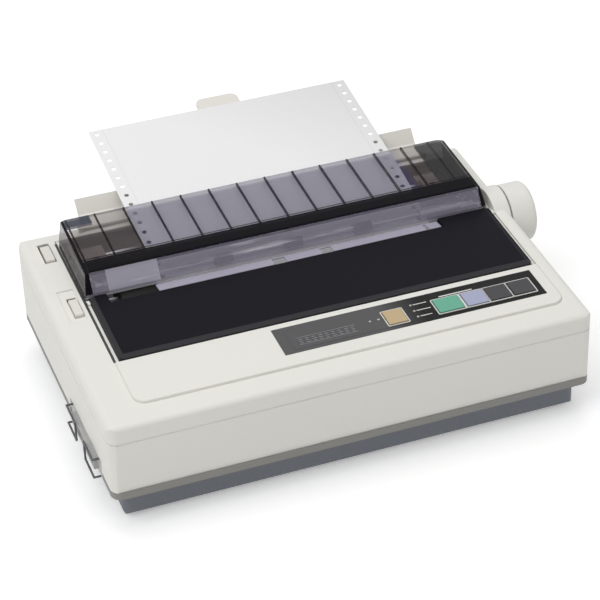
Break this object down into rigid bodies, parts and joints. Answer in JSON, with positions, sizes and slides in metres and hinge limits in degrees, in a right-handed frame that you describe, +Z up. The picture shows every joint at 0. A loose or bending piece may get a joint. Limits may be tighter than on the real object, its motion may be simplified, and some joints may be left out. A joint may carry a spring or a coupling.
{
  "type": "dot matrix printer",
  "caption": "Desktop dot matrix printer with smoked front lid, ribbed rear cover, sheet guide, platen knob and a key panel",
  "frame": {"origin": "centre of the overall box on the table plane", "axes": "+X to the right side with the knob, +Y from the front to the back, +Z up"},
  "size_m": [0.437, 0.389, 0.136],
  "materials": {
    "casing_white": "fine-grained moulded off-white plastic",
    "base_grey": "fine-grained blue-grey plastic",
    "smoke_plastic": "clear smoked plastic",
    "clear_plastic": "clear plastic",
    "light_plastic": "smooth light plastic",
    "black_plastic": "black moulded plastic",
    "panel_film": "black printed film",
    "key_tan": "tan key",
    "key_green": "green key",
    "key_lavender": "lavender key",
    "key_black": "black key",
    "lamp_plastic": "small green lamps",
    "circuit_board": "coated circuit board",
    "paper_white": "plain continuous paper",
    "platen_rubber": "ground black rubber",
    "bright_steel": "ground steel rod",
    "sheet_steel": "zinc-plated sheet steel",
    "pinion_brass": "machined brass",
    "head_alloy": "dark finned alloy",
    "connector_shell": "dark blue-black socket"
  },
  "bodies": {
    "base": {"base_pan": "base_grey", "rubber_feet": "platen_rubber", "upper_housing": "casing_white", "control_deck": "casing_white", "control_panel": "panel_film", "indicator_lights": "lamp_plastic", "panel_board": "circuit_board", "tear_strip": "clear_plastic", "paper": "paper_white", "paper_pan": "sheet_steel", "platen_bushes": "black_plastic", "side_frame_left": "sheet_steel", "side_frame_right": "sheet_steel", "frame_stays": "sheet_steel", "guide_rod": "bright_steel", "tractor_rail": "bright_steel", "carriage_belt": "black_plastic", "carriage_motor": "sheet_steel", "feed_motor": "sheet_steel", "parallel_connector": "connector_shell", "main_board": "circuit_board", "power_supply": "circuit_board", "power_inlet": "black_plastic", "power_switch": "black_plastic", "case_screws": "bright_steel"},
    "lid": {"front_lid": "smoke_plastic"},
    "cover": {"rear_cover": "smoke_plastic"},
    "guide": {"sheet_guide": "light_plastic"},
    "platen_roller": {"platen": "platen_rubber", "platen_shaft": "bright_steel", "platen_knob": "casing_white", "platen_gear": "light_plastic"},
    "idler": {"idler_gear": "light_plastic"},
    "reduction": {"reduction_gear": "light_plastic"},
    "pinion": {"feed_pinion": "pinion_brass"},
    "tractor_drive": {"tractor_shaft": "bright_steel"},
    "left_tractor": {"tractor_left": "black_plastic"},
    "right_tractor": {"tractor_right": "black_plastic"},
    "left_sprocket": {"sprocket_left": "black_plastic"},
    "right_sprocket": {"sprocket_right": "black_plastic"},
    "left_door": {"tractor_door_left": "black_plastic"},
    "right_door": {"tractor_door_right": "black_plastic"},
    "bail": {"paper_bail": "bright_steel"},
    "rollers": {"bail_rollers": "platen_rubber"},
    "carriage_unit": {"carriage": "black_plastic", "print_head": "head_alloy", "ribbon_cartridge": "black_plastic"},
    "ribbon_drive": {"ribbon_knob": "black_plastic"},
    "belt_drive": {"drive_pulley": "light_plastic"},
    "belt_return": {"return_pulley": "light_plastic"},
    "release": {"release_lever": "light_plastic"},
    "gap": {"gap_lever": "light_plastic"},
    "front_clip": {"connector_bail_front": "bright_steel"},
    "rear_clip": {"connector_bail_rear": "bright_steel"},
    "rocker": {"power_rocker": "black_plastic"},
    "key_one": {"button_one": "key_tan"},
    "key_two": {"button_two": "key_green"},
    "key_three": {"button_three": "key_lavender"},
    "key_four": {"button_four": "key_black"},
    "key_five": {"button_five": "key_black"}
  },
  "joints": [
    {"name": "lid_hinge", "type": "hinge", "parent": "base", "child": "lid", "pos_m": [-0.0025, -0.03052, 0.09988], "axis": [-1, 0, 0], "range_deg": [0, 60]},
    {"name": "cover_hinge", "type": "hinge", "parent": "base", "child": "cover", "pos_m": [-0.0025, -0.01855, 0.10104], "axis": [1, 0, 0], "range_deg": [0, 45]},
    {"name": "guide_hinge", "type": "hinge", "parent": "base", "child": "guide", "pos_m": [0, 0.0745, 0.10497], "axis": [-1, 0, 0], "range_deg": [0, 30]},
    {"name": "platen_turn", "type": "hinge", "parent": "base", "child": "platen_roller", "pos_m": [0.0025, -0.0105, 0.082], "axis": [1, 0, 0], "continuous": true},
    {"name": "idler_turn", "type": "hinge", "parent": "base", "child": "idler", "pos_m": [0.1715, 0.01341, 0.07991], "axis": [1, 0, 0], "continuous": true},
    {"name": "reduction_turn", "type": "hinge", "parent": "base", "child": "reduction", "pos_m": [0.1715, -0.00508, 0.05127], "axis": [1, 0, 0], "continuous": true},
    {"name": "pinion_turn", "type": "hinge", "parent": "base", "child": "pinion", "pos_m": [0.1715, 0.00692, 0.03049], "axis": [1, 0, 0], "continuous": true},
    {"name": "tractor_turn", "type": "hinge", "parent": "base", "child": "tractor_drive", "pos_m": [0.0025, 0.03336, 0.08817], "axis": [1, 0, 0], "continuous": true},
    {"name": "left_tractor_slide", "type": "slide", "parent": "base", "child": "left_tractor", "axis": [1, 0, 0], "range_m": [0, 0.0428]},
    {"name": "right_tractor_slide", "type": "slide", "parent": "base", "child": "right_tractor", "axis": [-1, 0, 0], "range_m": [0, 0.0338]},
    {"name": "left_sprocket_turn", "type": "hinge", "parent": "left_tractor", "child": "left_sprocket", "pos_m": [-0.1551, 0.03336, 0.08817], "axis": [1, 0, 0], "continuous": true},
    {"name": "right_sprocket_turn", "type": "hinge", "parent": "right_tractor", "child": "right_sprocket", "pos_m": [0.1501, 0.03336, 0.08817], "axis": [1, 0, 0], "continuous": true},
    {"name": "left_door_hinge", "type": "hinge", "parent": "left_tractor", "child": "left_door", "pos_m": [-0.1673, 0.03736, 0.09697], "axis": [0, -1, 0], "range_deg": [0, 75]},
    {"name": "right_door_hinge", "type": "hinge", "parent": "right_tractor", "child": "right_door", "pos_m": [0.1623, 0.03736, 0.09697], "axis": [0, 1, 0], "range_deg": [0, 75]},
    {"name": "bail_swing", "type": "hinge", "parent": "base", "child": "bail", "pos_m": [0.0025, 0.0115, 0.092], "axis": [-1, 0, 0], "range_deg": [0, 10]},
    {"name": "roller_turn", "type": "hinge", "parent": "bail", "child": "rollers", "pos_m": [0.002, -0.01455, 0.10495], "axis": [1, 0, 0], "continuous": true},
    {"name": "carriage_slide", "type": "slide", "parent": "base", "child": "carriage_unit", "axis": [1, 0, 0], "range_m": [0, 0.2032]},
    {"name": "ribbon_turn", "type": "hinge", "parent": "carriage_unit", "child": "ribbon_drive", "pos_m": [-0.1326, -0.0685, 0.08], "axis": [0, 0, 1], "continuous": true},
    {"name": "drive_pulley_turn", "type": "hinge", "parent": "base", "child": "belt_drive", "pos_m": [-0.1505, -0.0725, 0.041], "axis": [0, 0, 1], "continuous": true},
    {"name": "return_pulley_turn", "type": "hinge", "parent": "base", "child": "belt_return", "pos_m": [0.1475, -0.0725, 0.041], "axis": [0, 0, 1], "continuous": true},
    {"name": "release_turn", "type": "hinge", "parent": "base", "child": "release", "pos_m": [-0.1915, -0.0325, 0.062], "axis": [-1, 0, 0], "range_deg": [0, 6]},
    {"name": "gap_turn", "type": "hinge", "parent": "base", "child": "gap", "pos_m": [-0.193, 0.0505, 0.062], "axis": [-1, 0, 0], "range_deg": [0, 6]},
    {"name": "front_clip_turn", "type": "hinge", "parent": "base", "child": "front_clip", "pos_m": [-0.211, -0.1565, 0.035], "axis": [0, 0, 1], "range_deg": [0, 85]},
    {"name": "rear_clip_turn", "type": "hinge", "parent": "base", "child": "rear_clip", "pos_m": [-0.211, -0.0805, 0.035], "axis": [0, 0, -1], "range_deg": [0, 85]},
    {"name": "rocker_turn", "type": "hinge", "parent": "base", "child": "rocker", "pos_m": [0.1905, -0.1345, 0.064], "axis": [0, 1, 0], "range_deg": [0, 16]},
    {"name": "press_one", "type": "slide", "parent": "base", "child": "key_one", "axis": [0, 0.0218, -0.9998], "range_m": [0, 0.0012], "stiffness_N_per_m": 250},
    {"name": "press_two", "type": "slide", "parent": "base", "child": "key_two", "axis": [0, 0.0218, -0.9998], "range_m": [0, 0.0012], "stiffness_N_per_m": 250},
    {"name": "press_three", "type": "slide", "parent": "base", "child": "key_three", "axis": [0, 0.0218, -0.9998], "range_m": [0, 0.0012], "stiffness_N_per_m": 250},
    {"name": "press_four", "type": "slide", "parent": "base", "child": "key_four", "axis": [0, 0.0218, -0.9998], "range_m": [0, 0.0012], "stiffness_N_per_m": 250},
    {"name": "press_five", "type": "slide", "parent": "base", "child": "key_five", "axis": [0, 0.0218, -0.9998], "range_m": [0, 0.0012], "stiffness_N_per_m": 250}
  ],
  "couplings": [
    {"joint": "idler_turn", "follows": "platen_turn", "ratio": -1},
    {"joint": "tractor_turn", "follows": "platen_turn", "ratio": 1.25},
    {"joint": "reduction_turn", "follows": "platen_turn", "ratio": -0.625},
    {"joint": "pinion_turn", "follows": "platen_turn", "ratio": 2.5},
    {"joint": "left_sprocket_turn", "follows": "platen_turn", "ratio": 1.25},
    {"joint": "right_sprocket_turn", "follows": "platen_turn", "ratio": 1.25},
    {"joint": "roller_turn", "follows": "platen_turn", "ratio": -4.65},
    {"joint": "drive_pulley_turn", "follows": "carriage_slide", "rad_per_m": -114.94},
    {"joint": "return_pulley_turn", "follows": "carriage_slide", "rad_per_m": -114.94},
    {"joint": "ribbon_turn", "follows": "carriage_slide", "rad_per_m": 30}
  ]
}
